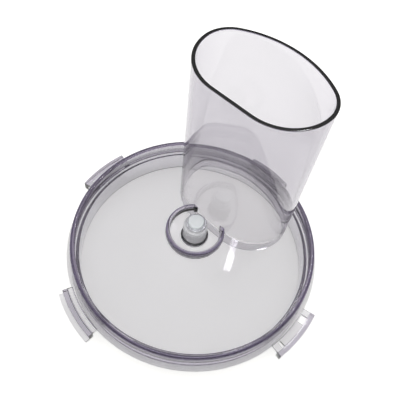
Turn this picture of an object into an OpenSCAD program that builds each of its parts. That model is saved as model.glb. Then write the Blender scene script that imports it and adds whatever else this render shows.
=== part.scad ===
// Clear bowl lid of a food processor, with its feed tube and spindle bearing.
// Z is up and the spindle axis is the Z axis. Z = 0 is the lower edge of the skirt,
// which is what the lid stands on. The feed tube stands on the +Y side.
// All lengths are in millimetres and all angles in degrees.

/* [Rim and skirt] */
// Outer radius of the rim wall at its top
rim_r = 95; // [78:1:116]
// Height of the rim's top above the lower edge of the skirt
rim_h = 32.5; // [27:0.5:40]
// Radius of the round bead along the top of the rim
bead_r = 2.2; // [1.8:0.1:2.6]
// Thickness of the rim wall and of the skirt
wall_t = 2.5; // [2:0.1:3]
// How far the foot of the rim wall leans out from its top
rim_draft = 0.6; // [0:0.1:1]
// How far the flange reaches out past the rim's radius
flange_out = 4; // [3:0.5:6]
// Height of the flange's seat above the lower edge of the skirt
flange_z = 15.8; // [12:0.1:18]
// Thickness of the flange at its root
flange_t = 3; // [2:0.1:4]
// Thickness of the flange at its edge
flange_edge_t = 1.4; // [1:0.1:2]
// How far the skirt's outer face lies inside the rim's radius
skirt_inset = 3.3; // [3:0.1:5]

/* [Plate] */
// Thickness of the domed plate
plate_t = 2.5; // [2:0.1:3]
// Height of the plate's middle above the plate's edge
dome_rise = 8.4; // [6:0.1:11]
// How far the plate's edge lies below the top of the rim
plate_drop = 1; // [0.6:0.1:1.8]

/* [Hub well] */
// Outer radius of the bead round the hub well
hub_r = 22.4; // [18:0.1:27]
// Radius of the round bead on top of the well's wall
hub_bead_r = 1.65; // [1.3:0.05:2]
// Height of the hub bead's top above the middle of the plate
hub_lift = 4.4; // [3:0.1:6]
// Depth of the well's floor below the hub bead's top
well_depth = 7.7; // [6:0.1:10]
// Thickness of the well's wall and floor
well_t = 2.4; // [2:0.1:3]

/* [Feed tube] */
// Distance from the spindle axis to the tube's front wall
tube_front = 15.5; // [14:0.5:20]
// Gap between the tube's back wall and the outside of the rim
tube_rim_gap = 14.4; // [11:0.1:18]
// Half of the length of the tube's flat front wall
tube_flat = 14.7; // [10:0.1:18]
// Radius of the tube's two front corners, seen from above
tube_front_r = 34.1; // [28:0.1:41]
// Radius of the tube's two back corners, seen from above
tube_back_r = 23.8; // [18:0.1:29]
// Thickness of the tube's wall
tube_t = 2.5; // [2:0.1:3]
// Height of the tube's mouth above the top of the rim
tube_h = 136; // [100:1:164]
// How far the tube's lower end hangs below the top of the rim
tube_hang = 8.7; // [7:0.1:10]

/* [Locking lugs] */
// How far the lugs reach out past the rim's radius
lug_out = 13.3; // [12:0.1:16]
// Half of the angle that a lug takes up
lug_half_angle = 11.4; // [9.6:0.1:14]
// How far the keyed front lug is turned away from the front
key_angle = 13.2; // [6:0.1:16]
// Thickness of a lug's outer wall
lug_wall_t = 3.9; // [3:0.1:5]
// Thickness of a lug's top
lug_top_t = 2.5; // [2:0.1:3]
// How far a lug's top lies below the top of the flange's edge
lug_drop = 0.3; // [0.2:0.1:0.6]
// Height of a lug's lower edge above the lower edge of the skirt
lug_low_z = 9; // [7:0.1:10]
// Half of the angle of the window through a lug's top
window_half_angle = 8.6; // [7:0.1:9.4]
// Distance across the window, from the lug's outer wall towards the flange
window_w = 4.9; // [4:0.1:5]
// Width of the ledge left between the window and the lug's outer wall
window_ledge = 0.3; // [0.2:0.1:0.6]
// Half of the angle of the hook below the window
hook_half_angle = 6.1; // [4:0.1:6.6]
// Height of the hook below the window
hook_h = 2.5; // [2:0.1:3]
// How far the keyed lug's outer wall lies inside those of the other lugs
key_inset = 2.3; // [1:0.1:3]
// Width of the finger lip on the keyed lug
lip_w = 3.4; // [2:0.1:4]
// Thickness of the finger lip
lip_t = 2.4; // [1.6:0.1:3]

/* [Spindle bearing] */
// Radius of the bore that the disc spindle turns in
bore_r = 4; // [3:0.1:5]
// Thickness of the bearing bush's wall
bush_t = 1.8; // [1.4:0.1:2.4]
// Radial gap between the bush and the sleeve
bush_gap = 0.05; // [0.02:0.01:0.1]
// Play of the bush along its axis, above and below
end_play = 0.3; // [0.2:0.05:0.5]
// Height of the bush's crown above the retaining ring
crown_h = 2.1; // [1:0.1:4]
// Thickness of the bush's closed top
crown_t = 3; // [2:0.1:5]
// Thickness of the bush's thrust flange
thrust_t = 1.6; // [1.2:0.1:2.4]
// How far the thrust flange reaches out past the bush's wall
thrust_w = 2.8; // [2:0.1:3.6]
// Thickness of the boss sleeve's wall
sleeve_t = 3.25; // [2.6:0.05:4]
// Height of the sleeve's shoulder above the well's floor
sleeve_h = 12.8; // [9:0.1:16]
// Thickness of the sleeve's neck above the shoulder
neck_t = 1.65; // [1.2:0.05:2.2]
// Height of the sleeve's neck above the shoulder
neck_h = 2.1; // [1:0.1:3]
// How far the sleeve's foot flange reaches out past its wall
foot_w = 1.6; // [1:0.1:4]
// Thickness of the sleeve's foot flange
foot_t = 2; // [1.5:0.1:3]
// Width of the retaining ring
ring_w = 2; // [1.2:0.1:2.6]
// Thickness of the retaining ring
ring_t = 1.2; // [0.8:0.1:1.6]

/* [Hidden] */
$fn = 96;

clear_tint = [0.80, 0.79, 0.86, 0.45];
sleeve_tint = [0.72, 0.73, 0.76, 0.8];

// cuts run this far past the faces that they open, and joined shapes overlap by as much
past = 1;
// the largest share of the tube's depth that its front and back corners can take up
corner_share = 0.96;
// the smallest share of that depth that they take up, so that a deep tube stays oval
corner_least = 0.80;

// rim and skirt
skirt_r = rim_r - skirt_inset;
flange_r = rim_r + flange_out;
step_z = flange_z + wall_t;

// bead along the rim, and the plate as a shallow dome that starts inside it
bead_c = [rim_r - bead_r, rim_h - bead_r];
plate_edge_z = rim_h - plate_drop;
bead_end = 180 - asin((plate_edge_z - bead_c[1]) / bead_r);
plate_r = bead_c[0] + bead_r * cos(bead_end);
dome_r = (plate_r * plate_r + dome_rise * dome_rise) / (2 * dome_rise);
dome_z = plate_edge_z + dome_rise - dome_r;
plate_mid_z = plate_edge_z + dome_rise;
dome_steps = 12;
arc_steps = 10;
corner_steps = 16;
back_steps = 10;

// hub well
hub_top_z = plate_mid_z + hub_lift;
well_r = hub_r - 2 * hub_bead_r;
well_floor_z = hub_top_z - well_depth;

// sleeve, bush and ring: one round another
bush_r = bore_r + bush_t;
sleeve_bore_r = bush_r + bush_gap;
neck_r = sleeve_bore_r + neck_t;
sleeve_r = sleeve_bore_r + sleeve_t;
foot_r = sleeve_r + foot_w;
thrust_r = bush_r + thrust_w;
ring_r = bush_r + ring_w;

// sleeve, bush and ring: one above another
sleeve_foot_z = well_floor_z - well_t - foot_t;
shoulder_z = well_floor_z + sleeve_h;
neck_z = shoulder_z + neck_h;
ring_z = neck_z + end_play;
crown_z = ring_z + ring_t + crown_h;
bush_foot_z = sleeve_foot_z - end_play - thrust_t;

// feed tube, as seen from above: a flat front and a curved back, joined by round corners
tube_back = rim_r - tube_rim_gap;
tube_low_z = rim_h - tube_hang;
tube_top_z = rim_h + tube_h;

// lugs: three that match and one that is keyed
lug_r = rim_r + lug_out;
lug_top_z = flange_z + flange_edge_t - lug_drop;
plain_lugs = [0, 90, 180];
key_lug = -90 - key_angle;

// Points along an arc about c, from one angle to another
function arc(c, r, from, to, steps) =
    [for (i = [0:steps]) let (a = from + (to - from) * i / steps) c + r * [cos(a), sin(a)]];

// The same points, mirrored in the Y axis and in reverse order
function mirrored(points) =
    [for (i = [len(points) - 1:-1:0]) [-points[i][0], points[i][1]]];

// Height of the plate's top at a distance r from the spindle axis
function dome_at(r) = dome_z + sqrt(dome_r * dome_r - r * r);

// Section of the feed tube, drawn a distance `inset` inside its outer face
module tube_section(inset = 0) {
    depth = tube_back - tube_front;
    corners = tube_front_r + tube_back_r;
    fit = max(corner_least * depth / corners, min(1, corner_share * depth / corners));
    front_r = tube_front_r * fit;
    back_r = tube_back_r * fit;
    front_c = [tube_flat, tube_front + front_r];
    back_c = [front_c[0] + front_r - back_r, front_c[1]];
    // the curved back touches both back corners and reaches the tube's full depth
    to_back = front_c[1] - tube_back;
    curve_r = (back_r * back_r - back_c[0] * back_c[0] - to_back * to_back) / (2 * (to_back + back_r));
    curve_c = [0, tube_back - curve_r];
    meet_a = atan2(back_c[1] - curve_c[1], back_c[0]);
    half = concat(
        arc(front_c, front_r - inset, -90, 0, corner_steps),
        arc(back_c, back_r - inset, 0, meet_a, corner_steps),
        arc(curve_c, curve_r - inset, meet_a, 90, back_steps)
    );
    // a point that two arcs share is kept once, and so is the one on the Y axis
    shared = [corner_steps + 1, 2 * corner_steps + 2];
    right = [for (i = [0:len(half) - 1]) if (i != shared[0] && i != shared[1]) half[i]];
    left = mirrored([for (i = [0:len(right) - 2]) right[i]]);
    polygon(concat(right, left));
}

// Half section of the whole moulding, round its outline from the skirt's lower edge
module lid_profile() {
    step_r = rim_r - wall_t;
    hub_bead_c = [hub_r - hub_bead_r, hub_top_z - hub_bead_r];
    floor_low_z = well_floor_z - well_t;
    outer_r = well_r + well_t;
    top = [for (i = [1:dome_steps]) plate_r + (hub_r - plate_r) * i / dome_steps];
    under = [for (i = [0:dome_steps]) outer_r + (step_r - outer_r) * i / dome_steps];
    polygon(concat(
        [[skirt_r - wall_t, 0], [skirt_r, 0], [skirt_r, flange_z], [flange_r, flange_z],
         [flange_r, flange_z + flange_edge_t], [rim_r + rim_draft, flange_z + flange_t]],
        arc(bead_c, bead_r, 0, bead_end, arc_steps),
        [for (r = top) [r, dome_at(r)]],
        arc(hub_bead_c, hub_bead_r, 0, 180, arc_steps),
        [[well_r, well_floor_z], [sleeve_r, well_floor_z],
         [sleeve_r, floor_low_z], [outer_r, floor_low_z]],
        [for (r = under) [r, dome_at(r) - plate_t]],
        [[step_r, step_z], [skirt_r - wall_t, step_z]]
    ));
}

// A sector of a ring, centred on the +X axis
module ring_sector(half_angle) {
    rotate([0, 0, -half_angle]) rotate_extrude(angle = 2 * half_angle) children();
}

// A lug with a window in its top and a hook below it, inside its outer wall
module plain_lug() {
    inner_r = lug_r - lug_wall_t;
    difference() {
        ring_sector(lug_half_angle) {
            translate([flange_r - past, lug_top_z - lug_top_t])
                square([lug_r - flange_r + past, lug_top_t]);
            translate([inner_r, lug_low_z]) square([lug_wall_t, lug_top_z - lug_low_z]);
        }
        ring_sector(window_half_angle)
            translate([inner_r - window_w, lug_top_z - lug_top_t - past])
                square([window_w - window_ledge, lug_top_t + 2 * past]);
    }
    ring_sector(hook_half_angle)
        translate([inner_r - window_w, lug_low_z]) square([window_w + past, hook_h]);
}

// The keyed lug: no window, and a lip for the finger along its lower edge
module key_lug() {
    outer_r = lug_r - key_inset;
    inner_r = outer_r - lug_wall_t;
    ring_sector(lug_half_angle) {
        translate([flange_r - past, lug_top_z - lug_top_t])
            square([outer_r - flange_r + past, lug_top_t]);
        translate([inner_r, lug_low_z]) square([lug_wall_t, lug_top_z - lug_low_z]);
        translate([outer_r - past, lug_low_z]) square([lip_w + past, lip_t]);
    }
}

// Moulded lid: domed plate, rim, flange, skirt, hub well and lugs
module lid_body() {
    color(clear_tint)
    difference() {
        union() {
            rotate_extrude() lid_profile();
            for (angle = plain_lugs) rotate([0, 0, angle]) plain_lug();
            rotate([0, 0, key_lug]) key_lug();
        }
        translate([0, 0, tube_low_z - past])
            linear_extrude(rim_h + dome_rise + hub_lift + 2 * past - tube_low_z) tube_section();
    }
}

// Feed tube: a pipe through the plate, open at both ends
module feed_tube() {
    color(clear_tint)
    translate([0, 0, tube_low_z])
        linear_extrude(tube_top_z - tube_low_z)
            difference() {
                tube_section();
                tube_section(tube_t);
            }
}

// Sleeve that stands in the well's floor and guides the bush
module boss_sleeve() {
    color(sleeve_tint)
    rotate_extrude()
        difference() {
            union() {
                translate([0, sleeve_foot_z]) square([foot_r, foot_t]);
                translate([0, sleeve_foot_z]) square([sleeve_r, shoulder_z - sleeve_foot_z]);
                translate([0, sleeve_foot_z]) square([neck_r, neck_z - sleeve_foot_z]);
            }
            translate([0, sleeve_foot_z - past])
                square([sleeve_bore_r, neck_z - sleeve_foot_z + 2 * past]);
        }
}

// Bearing bush: a thimble with a thrust flange at its open lower end
module spindle_bush() {
    color("white")
    rotate_extrude()
        difference() {
            union() {
                translate([0, bush_foot_z]) square([bush_r, crown_z - bush_foot_z]);
                translate([0, bush_foot_z]) square([thrust_r, thrust_t]);
            }
            translate([0, bush_foot_z - past])
                square([bore_r, crown_z - crown_t - bush_foot_z + past]);
        }
}

// Ring pressed on the bush above the sleeve's neck
module retaining_ring() {
    color("dimgray")
    rotate_extrude() translate([bush_r, ring_z]) square([ring_r - bush_r, ring_t]);
}

lid_body();
feed_tube();
boss_sleeve();
spindle_bush();
retaining_ring();
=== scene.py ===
"""Clear food processor lid: its looks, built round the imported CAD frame."""
from math import asin, atan2, cos, pi, radians, sin, sqrt, tan

import bmesh
import bpy
from mathutils import Matrix, Vector


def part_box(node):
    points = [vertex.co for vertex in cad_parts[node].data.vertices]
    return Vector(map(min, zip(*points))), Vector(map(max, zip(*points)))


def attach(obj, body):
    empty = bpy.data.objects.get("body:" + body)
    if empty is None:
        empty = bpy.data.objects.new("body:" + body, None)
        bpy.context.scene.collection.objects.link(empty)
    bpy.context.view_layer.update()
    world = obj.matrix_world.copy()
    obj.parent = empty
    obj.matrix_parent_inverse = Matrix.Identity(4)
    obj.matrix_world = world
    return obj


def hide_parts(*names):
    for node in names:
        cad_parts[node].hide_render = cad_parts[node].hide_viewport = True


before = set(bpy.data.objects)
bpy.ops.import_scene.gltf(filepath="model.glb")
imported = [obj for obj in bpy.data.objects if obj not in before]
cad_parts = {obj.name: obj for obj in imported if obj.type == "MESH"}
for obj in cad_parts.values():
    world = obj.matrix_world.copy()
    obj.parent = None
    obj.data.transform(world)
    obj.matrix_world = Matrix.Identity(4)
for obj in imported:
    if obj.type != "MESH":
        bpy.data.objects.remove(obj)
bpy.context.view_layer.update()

# ---------------------------------------------------------------- sizes, in metres
MM = 0.001
LID_LOW, LID_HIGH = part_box("lid_body")
TUBE_LOW, TUBE_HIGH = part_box("feed_tube")
SLEEVE_LOW, SLEEVE_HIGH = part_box("boss_sleeve")
BUSH_LOW, BUSH_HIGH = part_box("spindle_bush")
RING_LOW, RING_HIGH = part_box("retaining_ring")

LUG_R = LID_HIGH.x
LUG_OUT = 13.3 * MM
RIM_R = LUG_R - LUG_OUT
RIM_H = 32.5 * MM
BEAD_R = 2.2 * MM
WALL_T = 2.5 * MM
RIM_DRAFT = 0.6 * MM
FLANGE_R = RIM_R + 4 * MM
FLANGE_Z = 15.8 * MM
FLANGE_T = 3 * MM
FLANGE_EDGE_T = 1.4 * MM
SKIRT_R = RIM_R - 3.3 * MM

PLATE_T = 2.5 * MM
DOME_RISE = 8.4 * MM
PLATE_DROP = 1 * MM
HUB_R = 22.4 * MM
HUB_BEAD_R = 1.65 * MM
HUB_TOP = LID_HIGH.z
WELL_DEPTH = 7.7 * MM
WELL_T = 2.4 * MM
SLEEVE_R = 9.1 * MM
SLEEVE_BORE_R = 5.85 * MM
FOOT_T = 2 * MM
NECK_R = 7.5 * MM
NECK_H = 2.1 * MM
BORE_R = 4 * MM
BUSH_R = 5.8 * MM
THRUST_T = 1.6 * MM
CROWN_T = 3 * MM

TUBE_FRONT = TUBE_LOW.y
TUBE_BACK = TUBE_HIGH.y
TUBE_FLAT = 14.7 * MM
TUBE_FRONT_R = 34.1 * MM
TUBE_BACK_R = 23.8 * MM
TUBE_T = 2.5 * MM

LUG_HALF = radians(11.4)
KEY_LUG_AT = radians(-103.2)
KEY_INSET = 2.3 * MM
LUG_WALL_T = 3.9 * MM
LUG_TOP_T = 2.5 * MM
LUG_DROP = 0.3 * MM
LUG_TOP_Z = FLANGE_Z + FLANGE_EDGE_T - LUG_DROP
LUG_LOW_Z = 9 * MM
WINDOW_HALF = radians(8.6)
WINDOW_W = 4.9 * MM
WINDOW_LEDGE = 0.3 * MM
HOOK_HALF = radians(6.1)
HOOK_H = 2.5 * MM
LIP_W = 3.4 * MM
LIP_T = 2.4 * MM

# a hair of air round the tube and the sleeve, so that no two clear faces coincide
FIT_GAP = 0.06 * MM

PLATE_EDGE = RIM_H - PLATE_DROP
BEAD_C = (RIM_R - BEAD_R, RIM_H - BEAD_R)
BEAD_END = pi - asin((PLATE_EDGE - BEAD_C[1]) / BEAD_R)
PLATE_R = BEAD_C[0] + BEAD_R * cos(BEAD_END)
DOME_R = (PLATE_R ** 2 + DOME_RISE ** 2) / (2 * DOME_RISE)
DOME_Z = PLATE_EDGE + DOME_RISE - DOME_R


def dome_at(r):
    """Height of the plate's top at a distance r from the spindle axis."""
    return DOME_Z + sqrt(DOME_R ** 2 - r * r)


# ---------------------------------------------------------------- mesh helpers
def new_object(name, bm):
    """An object made from a bmesh, with its faces turned outwards."""
    bmesh.ops.recalc_face_normals(bm, faces=bm.faces)
    mesh = bpy.data.meshes.new(name)
    bm.to_mesh(mesh)
    bm.free()
    obj = bpy.data.objects.new(name, mesh)
    bpy.context.scene.collection.objects.link(obj)
    return obj


def rounded(corners, steps=5):
    """Outline through corners (x, y, radius), each corner turned by an arc."""
    points = []
    count = len(corners)
    for i, (x, y, radius) in enumerate(corners):
        here = Vector((x, y))
        before = (Vector(corners[i - 1][:2]) - here)
        after = (Vector(corners[(i + 1) % count][:2]) - here)
        turn = before.angle(after, pi)
        if radius <= 0 or turn > pi - 0.01:
            points.append((x, y))
            continue
        reach = radius / tan(turn / 2)
        reach = min(reach, 0.48 * before.length, 0.48 * after.length)
        start = here + before.normalized() * reach
        end = here + after.normalized() * reach
        for k in range(steps + 1):
            t = k / steps
            points.append(tuple((1 - t) ** 2 * start + 2 * t * (1 - t) * here + t * t * end))
    return points


def arc(centre, radius, start, end, steps):
    """Points along an arc, both ends included."""
    return [
        (centre[0] + radius * cos(start + (end - start) * k / steps),
         centre[1] + radius * sin(start + (end - start) * k / steps))
        for k in range(steps + 1)
    ]


def lathe(name, outline, segments=256):
    """A closed solid turned about Z from a closed half section (r, z)."""
    bm = bmesh.new()
    rings = []
    for r, z in outline:
        if r < 1e-7:
            rings.append([bm.verts.new((0, 0, z))])
            continue
        rings.append([
            bm.verts.new((r * cos(2 * pi * k / segments), r * sin(2 * pi * k / segments), z))
            for k in range(segments)
        ])
    for i, ring in enumerate(rings):
        join_rings(bm, ring, rings[(i + 1) % len(rings)])
    return new_object(name, bm)


def join_rings(bm, a, b):
    """Faces between two rings of points; a ring of one point is a pole."""
    if len(a) == 1 and len(b) == 1:
        return
    count = max(len(a), len(b))
    for k in range(count):
        n = (k + 1) % count
        if len(a) == 1:
            bm.faces.new((a[0], b[n], b[k]))
        elif len(b) == 1:
            bm.faces.new((a[k], a[n], b[0]))
        else:
            bm.faces.new((a[k], a[n], b[n], b[k]))


def sector(name, outline, half, steps=28):
    """A closed solid: a half section swept from -half to +half about Z."""
    bm = bmesh.new()
    rows = []
    for k in range(steps + 1):
        a = -half + 2 * half * k / steps
        rows.append([bm.verts.new((r * cos(a), r * sin(a), z)) for r, z in outline])
    for row, after in zip(rows, rows[1:]):
        for i in range(len(outline)):
            n = (i + 1) % len(outline)
            bm.faces.new((row[i], row[n], after[n], after[i]))
    bm.faces.new(rows[0])
    bm.faces.new(list(reversed(rows[-1])))
    return new_object(name, bm)


def box_outline(r0, r1, z0, z1):
    """Closed rectangle (r, z)."""
    return [(r0, z0), (r1, z0), (r1, z1), (r0, z1)]


def combine(target, other, operation):
    """Boolean of two solids; the other one is used up."""
    modifier = target.modifiers.new("cut", "BOOLEAN")
    modifier.operation = operation
    modifier.solver = "EXACT"
    modifier.object = other
    apply_modifiers(target)
    bpy.data.objects.remove(other)


def apply_modifiers(obj):
    """The object's mesh, replaced by what its modifiers make of it."""
    depsgraph = bpy.context.evaluated_depsgraph_get()
    mesh = bpy.data.meshes.new_from_object(obj.evaluated_get(depsgraph))
    old = obj.data
    obj.modifiers.clear()
    obj.data = mesh
    bpy.data.meshes.remove(old)


def bevel(obj, width, segments=3, angle=40):
    """Rounds the edges that turn by more than angle."""
    modifier = obj.modifiers.new("bevel", "BEVEL")
    modifier.width = width
    modifier.segments = segments
    modifier.limit_method = "ANGLE"
    modifier.angle_limit = radians(angle)
    apply_modifiers(obj)


def smooth(obj, angle=32):
    """Smooth shading, with the edges that turn by more than angle kept sharp."""
    bm = bmesh.new()
    bm.from_mesh(obj.data)
    bmesh.ops.remove_doubles(bm, verts=bm.verts, dist=1e-6)
    limit = radians(angle)
    for face in bm.faces:
        face.smooth = True
    for edge in bm.edges:
        edge.smooth = len(edge.link_faces) == 2 and edge.calc_face_angle(0) < limit
    bm.to_mesh(obj.data)
    bm.free()


# ---------------------------------------------------------------- materials
def material(name):
    """An empty material and its node tools."""
    mat = bpy.data.materials.new(name)
    mat.use_nodes = True
    tree = mat.node_tree
    return mat, tree, tree.nodes["Principled BSDF"], tree.nodes["Material Output"]


def noise(tree, scale, detail=4.0, roughness=0.5):
    """A noise texture in the object's own coordinates."""
    coords = tree.nodes.new("ShaderNodeTexCoord")
    texture = tree.nodes.new("ShaderNodeTexNoise")
    texture.inputs["Scale"].default_value = scale
    texture.inputs["Detail"].default_value = detail
    texture.inputs["Roughness"].default_value = roughness
    tree.links.new(coords.outputs["Object"], texture.inputs["Vector"])
    return texture


def remap(tree, source, low, high):
    """The middle of the texture's range mapped to low to high."""
    node = tree.nodes.new("ShaderNodeMapRange")
    node.inputs["From Min"].default_value = 0.3
    node.inputs["From Max"].default_value = 0.7
    node.inputs["To Min"].default_value = low
    node.inputs["To Max"].default_value = high
    tree.links.new(source, node.inputs["Value"])
    return node.outputs["Result"]


def bump(tree, source, shader, strength, distance):
    """Fine relief on the surface."""
    node = tree.nodes.new("ShaderNodeBump")
    node.inputs["Strength"].default_value = strength
    node.inputs["Distance"].default_value = distance
    tree.links.new(source, node.inputs["Height"])
    tree.links.new(node.outputs["Normal"], shader.inputs["Normal"])


def clear_plastic(name, tint, absorb, density, ripple, edges):
    """Clear moulded plastic: polished, faintly rippled, darker where it is thick, with painted shade
    on its base colour at the given edges.
    """
    mat, tree, shader, output = material(name)
    shader.inputs["Transmission Weight"].default_value = 1.0
    shader.inputs["IOR"].default_value = 1.5
    haze = noise(tree, 60, 3)
    tree.links.new(remap(tree, haze.outputs["Fac"], 0.0, 0.03), shader.inputs["Roughness"])
    flow = noise(tree, 22, 2, 0.4)
    bump(tree, flow.outputs["Fac"], shader, ripple, 0.0002)
    volume = tree.nodes.new("ShaderNodeVolumeAbsorption")
    volume.inputs["Color"].default_value = (*absorb, 1)
    volume.inputs["Density"].default_value = density
    tree.links.new(volume.outputs["Volume"], output.inputs["Volume"])
    # painted shade: a dark colour painted onto the base colour at the given edges
    paint_edge_shade(tree, shader, tint, PAINTED_EDGE_SHADE, edges)
    return mat


def paint_edge_shade(tree, shader, plain, painted_shade_colour, edges):
    """Painted shade: a plain tint, and a dark painted-shade colour above each height and outside each
    radius in edges, where thick clear edges look dark.
    """
    coords = tree.nodes.new("ShaderNodeTexCoord")
    split = tree.nodes.new("ShaderNodeSeparateXYZ")
    flat = tree.nodes.new("ShaderNodeCombineXYZ")
    radius = tree.nodes.new("ShaderNodeVectorMath")
    radius.operation = "LENGTH"
    tree.links.new(coords.outputs["Object"], split.inputs["Vector"])
    tree.links.new(split.outputs["X"], flat.inputs["X"])
    tree.links.new(split.outputs["Y"], flat.inputs["Y"])
    tree.links.new(flat.outputs["Vector"], radius.inputs[0])
    painted_shade_mask = None
    for height, reach in edges:
        above = step(tree, split.outputs["Z"], height, 1.2 * MM)
        outside = step(tree, radius.outputs["Value"], reach, 0.7 * MM)
        both = combine_values(tree, "MULTIPLY", above, outside)
        painted_shade_mask = both if painted_shade_mask is None else combine_values(tree, "MAXIMUM", painted_shade_mask, both)
    mix = tree.nodes.new("ShaderNodeMix")
    mix.data_type = "RGBA"
    mix.inputs["A"].default_value = (*plain, 1)
    mix.inputs["B"].default_value = (*painted_shade_colour, 1)
    tree.links.new(painted_shade_mask, mix.inputs["Factor"])
    tree.links.new(mix.outputs["Result"], shader.inputs["Base Color"])


def step(tree, source, start, width):
    """0 below start, 1 above start + width, smooth between."""
    node = tree.nodes.new("ShaderNodeMapRange")
    node.interpolation_type = "SMOOTHSTEP"
    node.inputs["From Min"].default_value = start
    node.inputs["From Max"].default_value = start + width
    tree.links.new(source, node.inputs["Value"])
    return node.outputs["Result"]


def combine_values(tree, operation, a, b):
    """Two numbers put together by a Math node."""
    node = tree.nodes.new("ShaderNodeMath")
    node.operation = operation
    tree.links.new(a, node.inputs[0])
    tree.links.new(b, node.inputs[1])
    return node.outputs["Value"]


def colour_ramp(tree, source, shader, dark, light, start=0.0, end=1.0):
    """The shader's colour, from dark to light as the source goes from start to end."""
    ramp = tree.nodes.new("ShaderNodeValToRGB")
    ramp.color_ramp.elements[0].position = start
    ramp.color_ramp.elements[0].color = (*dark, 1)
    ramp.color_ramp.elements[1].position = end
    ramp.color_ramp.elements[1].color = (*light, 1)
    tree.links.new(source, ramp.inputs["Fac"])
    tree.links.new(ramp.outputs["Color"], shader.inputs["Base Color"])


def solid_plastic(name, dark, light, rough, grain):
    """Opaque moulded plastic with a fine grain and a little colour variation."""
    mat, tree, shader, _ = material(name)
    cloud = noise(tree, 180, 5)
    colour_ramp(tree, cloud.outputs["Fac"], shader, dark, light, 0.35, 0.65)
    roughness = remap(tree, cloud.outputs["Fac"], rough - 0.06, rough + 0.06)
    tree.links.new(roughness, shader.inputs["Roughness"])
    fine = noise(tree, 2600, 3)
    bump(tree, fine.outputs["Fac"], shader, grain, 0.00005)
    return mat


# painted shade: the dark colour painted on the rim bead, hub bead and tube mouth, where thick clear
# edges look dark
PAINTED_EDGE_SHADE = (0.24, 0.21, 0.32)
# the lid's painted shade lies on its rim bead and hub bead
LID_PLASTIC = clear_plastic(
    "lid_plastic", (0.90, 0.91, 0.895), (0.32, 0.255, 0.41), 118, 0.015,
    [(BEAD_C[1] - 2 * MM, BEAD_C[0] - 0.4 * MM), (HUB_TOP - 3 * MM, HUB_R - HUB_BEAD_R - 0.4 * MM)])
# the tube's painted shade lies on the lip of its mouth
TUBE_PLASTIC = clear_plastic(
    "tube_plastic", (0.925, 0.93, 0.925), (0.32, 0.26, 0.38), 138, 0.03,
    [(TUBE_HIGH.z - 1.2 * MM, 0)])


# ---------------------------------------------------------------- lid moulding
def lid_outline():
    """Half section of the moulding with its fillets, in order round the outline."""
    step_r = RIM_R - WALL_T
    step_z = FLANGE_Z + WALL_T
    bead_c = (HUB_R - HUB_BEAD_R, HUB_TOP - HUB_BEAD_R)
    well_r = HUB_R - 2 * HUB_BEAD_R
    outer_r = well_r + WELL_T
    floor_z = HUB_TOP - WELL_DEPTH
    low_z = floor_z - WELL_T
    plate = 40
    top = [PLATE_R + (HUB_R - PLATE_R) * (i + 0.5) / plate for i in range(plate)]
    under = [outer_r + (step_r - outer_r) * (i + 0.5) / plate for i in range(plate)]
    skirt = [
        (SKIRT_R - WALL_T, 0, 0.9 * MM), (SKIRT_R, 0, 0.9 * MM), (SKIRT_R, FLANGE_Z, 0.5 * MM),
        (FLANGE_R, FLANGE_Z, 0.5 * MM), (FLANGE_R, FLANGE_Z + FLANGE_EDGE_T, 0.7 * MM),
        (RIM_R + RIM_DRAFT, FLANGE_Z + FLANGE_T, 1.2 * MM), (RIM_R, BEAD_C[1], 0),
    ]
    bead = [(x, y, 0) for x, y in arc(BEAD_C, BEAD_R, 0.15, BEAD_END, 14)]
    hub = [(HUB_R, dome_at(HUB_R), 0.5 * MM)]
    hub += [(x, y, 0) for x, y in arc(bead_c, HUB_BEAD_R, 0, pi, 12)]
    well = [
        (well_r, floor_z, 0.8 * MM), (SLEEVE_R + FIT_GAP, floor_z, 0),
        (SLEEVE_R + FIT_GAP, low_z, 0), (outer_r, low_z, 0.8 * MM),
        (outer_r, dome_at(outer_r) - PLATE_T, 0.6 * MM),
    ]
    inside = [
        (step_r, dome_at(step_r) - PLATE_T, 1.2 * MM), (step_r, step_z, 0.8 * MM),
        (SKIRT_R - WALL_T, step_z, 0.8 * MM),
    ]
    corners = skirt + bead + [(r, dome_at(r), 0) for r in top] + hub + well
    corners += [(r, dome_at(r) - PLATE_T, 0) for r in under] + inside
    return rounded(corners)


def tube_loop(inset, corner_steps=40, back_steps=36, flat_steps=12):
    """Plan outline of the feed tube, a distance inset inside its outer face."""
    front_c = (TUBE_FLAT, TUBE_FRONT + TUBE_FRONT_R)
    back_c = (front_c[0] + TUBE_FRONT_R - TUBE_BACK_R, front_c[1])
    to_back = front_c[1] - TUBE_BACK
    curve_r = (TUBE_BACK_R ** 2 - back_c[0] ** 2 - to_back ** 2) / (2 * (to_back + TUBE_BACK_R))
    curve_y = TUBE_BACK - curve_r
    meet = atan2(back_c[1] - curve_y, back_c[0])
    half = [(TUBE_FLAT * k / flat_steps, TUBE_FRONT + inset) for k in range(flat_steps)]
    half += arc(front_c, TUBE_FRONT_R - inset, -pi / 2, 0, corner_steps)
    half += arc(back_c, TUBE_BACK_R - inset, 0, meet, corner_steps)[1:]
    half += arc((0, curve_y), curve_r - inset, meet, pi / 2, back_steps)[1:]
    mirrored = [(-x, y) for x, y in reversed(half[1:-1])]
    return half + mirrored


def tube_cutter():
    """The tube's outer shape, a hair larger, from below the plate to above the hub."""
    bm = bmesh.new()
    loop = tube_loop(-FIT_GAP)
    low = [bm.verts.new((x, y, FLANGE_Z - 0.8 * MM)) for x, y in loop]
    high = [bm.verts.new((x, y, HUB_TOP + 15.7 * MM)) for x, y in loop]
    join_rings(bm, low, high)
    bm.faces.new(low)
    bm.faces.new(high)
    return new_object("cutter", bm)


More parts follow.
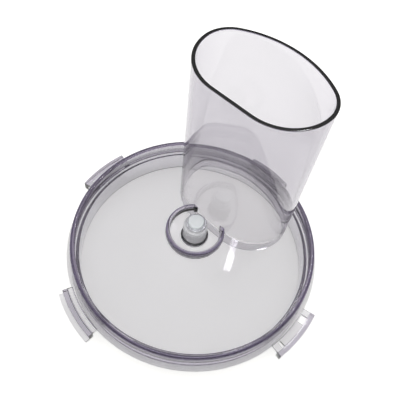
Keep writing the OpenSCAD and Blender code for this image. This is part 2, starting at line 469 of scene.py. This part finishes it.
def plain_lug():
    """A lug with a window in its top and a hook under it, pointing along +X."""
    inner_r = LUG_R - LUG_WALL_T
    root_r = FLANGE_R - 1.2 * MM
    lug = sector("lug", [
        (root_r, LUG_TOP_Z - LUG_TOP_T), (inner_r, LUG_TOP_Z - LUG_TOP_T), (inner_r, LUG_LOW_Z),
        (LUG_R, LUG_LOW_Z), (LUG_R, LUG_TOP_Z), (root_r, LUG_TOP_Z),
    ], LUG_HALF)
    window = box_outline(
        inner_r - WINDOW_W, inner_r - WINDOW_LEDGE, LUG_TOP_Z - 2 * LUG_TOP_T, LUG_TOP_Z + LUG_TOP_T)
    combine(lug, sector("window", window, WINDOW_HALF), "DIFFERENCE")
    hook = box_outline(inner_r - WINDOW_W, inner_r + 1 * MM, LUG_LOW_Z + 0.02 * MM, LUG_LOW_Z + HOOK_H)
    combine(lug, sector("hook", hook, HOOK_HALF), "UNION")
    bevel(lug, 0.6 * MM)
    return lug


def key_lug():
    """The keyed lug, with a lip at its foot instead of a window, pointing along +X."""
    outer_r = LUG_R - KEY_INSET
    inner_r = outer_r - LUG_WALL_T
    lip_r = outer_r + LIP_W
    root_r = FLANGE_R - 1.2 * MM
    lug = sector("key_lug", [
        (root_r, LUG_TOP_Z - LUG_TOP_T), (inner_r, LUG_TOP_Z - LUG_TOP_T), (inner_r, LUG_LOW_Z),
        (lip_r, LUG_LOW_Z), (lip_r, LUG_LOW_Z + LIP_T), (outer_r, LUG_LOW_Z + LIP_T),
        (outer_r, LUG_TOP_Z), (root_r, LUG_TOP_Z),
    ], LUG_HALF)
    bevel(lug, 0.7 * MM)
    return lug


def turn(obj, angle):
    """The object, turned about the spindle axis."""
    obj.data.transform(Matrix.Rotation(angle, 4, "Z"))
    return obj


def make_lid():
    """The clear moulding: a turned body, cut for the tube, with its four lugs."""
    lid = lathe("clear_lid", lid_outline(), 288)
    combine(lid, tube_cutter(), "DIFFERENCE")
    for quarter in range(3):
        combine(lid, turn(plain_lug(), quarter * pi / 2), "UNION")
    combine(lid, turn(key_lug(), KEY_LUG_AT), "UNION")
    smooth(lid)
    lid.data.materials.clear()
    lid.data.materials.append(LID_PLASTIC)
    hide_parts("lid_body")
    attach(lid, "lid")
    return lid


# ---------------------------------------------------------------- feed tube
def make_tube():
    """Pipe of matching rings, with a rounded mouth and a softly rounded lower end."""
    low, high = TUBE_LOW.z, TUBE_HIGH.z
    edge = 0.5 * MM
    lip_r = 0.4 * MM
    turns = [pi / 2 * k / 8 for k in range(9)]
    lip = [(lip_r - lip_r * cos(a), high - lip_r + lip_r * sin(a)) for a in turns]
    lip += [(TUBE_T - inset, z) for inset, z in reversed(lip)]
    near_ends = (1 * MM, 2 * MM, 4 * MM, 8 * MM)
    sides = [low + edge + gap for gap in near_ends]
    sides += [low + (high - low) * k / 8 for k in range(1, 8)]
    sides += [high - lip_r - gap for gap in reversed(near_ends)]
    rows = [(0, low + edge)] + [(0, z) for z in sides] + lip
    rows += [(TUBE_T, z) for z in reversed(sides)] + [(TUBE_T, low + edge)]
    rows += [(TUBE_T - edge, low), (edge, low)]
    bm = bmesh.new()
    rings = [[bm.verts.new((x, y, z)) for x, y in tube_loop(inset)] for inset, z in rows]
    for i, ring in enumerate(rings):
        join_rings(bm, ring, rings[(i + 1) % len(rings)])
    tube = new_object("clear_feed_tube", bm)
    smooth(tube, 40)
    tube.data.materials.append(TUBE_PLASTIC)
    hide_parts("feed_tube")
    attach(tube, "lid")
    return tube


# ---------------------------------------------------------------- hub pieces
def make_sleeve():
    """The milky sleeve that stands in the hub well, with its foot below the well's floor."""
    foot_r = SLEEVE_HIGH.x
    low, high = SLEEVE_LOW.z, SLEEVE_HIGH.z
    foot_top = low + FOOT_T
    shoulder = high - NECK_H
    outline = rounded([
        (SLEEVE_BORE_R, low, 0.3 * MM), (foot_r, low, 0.5 * MM), (foot_r, foot_top, 0.5 * MM),
        (SLEEVE_R, foot_top, 0.2 * MM), (SLEEVE_R, shoulder, 0.6 * MM), (NECK_R, shoulder, 0.3 * MM),
        (NECK_R, high, 0.4 * MM), (SLEEVE_BORE_R, high, 0.3 * MM),
    ])
    sleeve = lathe("milky_sleeve", outline, 128)
    smooth(sleeve)
    mat, tree, shader, _ = material("sleeve_plastic")
    cloud = noise(tree, 140, 4)
    colour_ramp(tree, cloud.outputs["Fac"], shader, (0.86, 0.86, 0.88), (0.93, 0.93, 0.95))
    shader.inputs["Transmission Weight"].default_value = 0.2
    shader.inputs["IOR"].default_value = 1.5
    tree.links.new(remap(tree, cloud.outputs["Fac"], 0.22, 0.34), shader.inputs["Roughness"])
    bump(tree, noise(tree, 900, 3).outputs["Fac"], shader, 0.12, 0.00008)
    sleeve.data.materials.append(mat)
    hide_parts("boss_sleeve")
    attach(sleeve, "lid")


def make_bush():
    """The white bush: a thrust flange at its foot, and a bore that ends under its crown."""
    thrust_r = BUSH_HIGH.x
    low, high = BUSH_LOW.z, BUSH_HIGH.z
    thrust_top = low + THRUST_T
    bore_end = high - CROWN_T
    outline = rounded([
        (BORE_R, low, 0.3 * MM), (thrust_r, low, 0.3 * MM), (thrust_r, thrust_top, 0.3 * MM),
        (BUSH_R, thrust_top, 0.2 * MM), (BUSH_R, high, 0.7 * MM),
        (0, high, 0), (0, bore_end, 0), (BORE_R, bore_end, 0.4 * MM),
    ])
    bush = lathe("white_bush", outline, 128)
    smooth(bush)
    white = solid_plastic("bearing_plastic", (0.88, 0.92, 0.93), (0.93, 0.96, 0.97), 0.34, 0.2)
    bush.data.materials.append(white)
    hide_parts("spindle_bush")
    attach(bush, "bush")


def make_ring():
    """The steel ring round the bush's neck, a hair larger than the neck."""
    inner_r = BUSH_R + 0.01 * MM
    outline = rounded([
        (inner_r, RING_LOW.z, 0.15 * MM), (RING_HIGH.x, RING_LOW.z, 0.25 * MM),
        (RING_HIGH.x, RING_HIGH.z, 0.35 * MM), (inner_r, RING_HIGH.z, 0.2 * MM),
    ])
    ring = lathe("steel_ring", outline, 128)
    smooth(ring)
    mat, tree, shader, _ = material("ring_steel")
    shader.inputs["Metallic"].default_value = 1.0
    brushed = noise(tree, 400, 6, 0.7)
    colour_ramp(tree, brushed.outputs["Fac"], shader, (0.58, 0.59, 0.61), (0.76, 0.77, 0.80))
    tree.links.new(remap(tree, brushed.outputs["Fac"], 0.22, 0.34), shader.inputs["Roughness"])
    ring.data.materials.append(mat)
    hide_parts("retaining_ring")
    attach(ring, "bush")


# ---------------------------------------------------------------- stage, camera, light
def make_floor():
    """A pale table, lit from inside, just under the lid."""
    bm = bmesh.new()
    bmesh.ops.create_grid(bm, x_segments=2, y_segments=2, size=4.0)
    floor = new_object("floor", bm)
    floor.location.z = LID_LOW.z - 0.05 * MM
    mat, tree, shader, _ = material("floor_paper")
    cloud = noise(tree, 30, 4)
    colour_ramp(tree, cloud.outputs["Fac"], shader, (0.93, 0.93, 0.935), (0.96, 0.96, 0.965))
    shader.inputs["Roughness"].default_value = 0.9
    shader.inputs["Emission Color"].default_value = (1, 1, 0.96, 1)
    shader.inputs["Emission Strength"].default_value = 0.68
    floor.data.materials.append(mat)


def make_camera():
    """Looks down on the lid from the front right, slightly rolled."""
    heading = radians(125.36)
    pitch = radians(56.94)
    roll = radians(8.27)
    reach = 0.40678
    aim = Vector((-0.01906, 0.02759, RIM_H))
    forward = Vector((cos(heading) * cos(pitch), sin(heading) * cos(pitch), -sin(pitch)))
    right = forward.cross(Vector((0, 0, 1))).normalized()
    up = right.cross(forward)
    rolled_right = right * cos(roll) + up * sin(roll)
    rolled_up = up * cos(roll) - right * sin(roll)
    data = bpy.data.cameras.new("camera")
    data.lens = 45
    data.sensor_width = 36
    camera = bpy.data.objects.new("camera", data)
    bpy.context.scene.collection.objects.link(camera)
    axes = Matrix((rolled_right, rolled_up, -forward)).transposed().to_4x4()
    camera.matrix_world = Matrix.Translation(aim - forward * reach) @ axes
    bpy.context.scene.camera = camera


def make_light():
    """A bright sky overhead, dark walls round it and a pale band at the horizon."""
    world = bpy.data.worlds.new("world")
    bpy.context.scene.world = world
    world.use_nodes = True
    tree = world.node_tree
    background = tree.nodes["Background"]
    coords = tree.nodes.new("ShaderNodeTexCoord")
    split = tree.nodes.new("ShaderNodeSeparateXYZ")
    ramp = tree.nodes.new("ShaderNodeValToRGB")
    tree.links.new(coords.outputs["Generated"], split.inputs["Vector"])
    tree.links.new(split.outputs["Z"], ramp.inputs["Fac"])
    tree.links.new(ramp.outputs["Color"], background.inputs["Color"])
    stops = ramp.color_ramp.elements
    stops[0].position = 0.0
    stops[0].color = (0.80, 0.80, 0.82, 1)
    stops[1].position = 0.80
    stops[1].color = (1.0, 1.0, 1.0, 1)
    stops.new(0.12).color = (0.55, 0.55, 0.56, 1)
    stops.new(0.20).color = (0.030, 0.026, 0.044, 1)
    stops.new(0.45).color = (0.035, 0.030, 0.052, 1)
    background.inputs["Strength"].default_value = 0.9


def add_strip():
    """A narrow light above and behind the feed tube, mirrored as a streak in the plate."""
    place = Vector((-0.042, 0.378, 0.745))
    along = Vector((0.100, -0.184, 0.087)).normalized()
    back = (place - Vector((0.032, 0.009, RIM_H))).normalized()
    side = back.cross(along).normalized()
    data = bpy.data.lights.new("strip", "AREA")
    data.shape = "RECTANGLE"
    data.size = 0.215
    data.size_y = 0.035
    data.energy = 0.55
    light = bpy.data.objects.new("strip", data)
    axes = Matrix((side.cross(back), side, back)).transposed().to_4x4()
    light.matrix_world = Matrix.Translation(place) @ axes
    bpy.context.scene.collection.objects.link(light)


def add_hub_light():
    """A small soft spot on the bearing, from the front."""
    hub = Vector((0, 0, HUB_TOP))
    data = bpy.data.lights.new("hub_light", "SPOT")
    data.energy = 3.2
    data.spot_size = radians(9)
    data.spot_blend = 1.0
    data.shadow_soft_size = 0.02
    light = bpy.data.objects.new("hub_light", data)
    light.location = hub + Vector((0.10, -0.16, 0.46))
    light.rotation_euler = (light.location - hub).to_track_quat("Z", "Y").to_euler()
    bpy.context.scene.collection.objects.link(light)


make_lid()
make_tube()
make_sleeve()
make_bush()
make_ring()
make_floor()
make_camera()
make_light()
add_strip()
add_hub_light()
bpy.context.scene.view_settings.view_transform = "Standard"
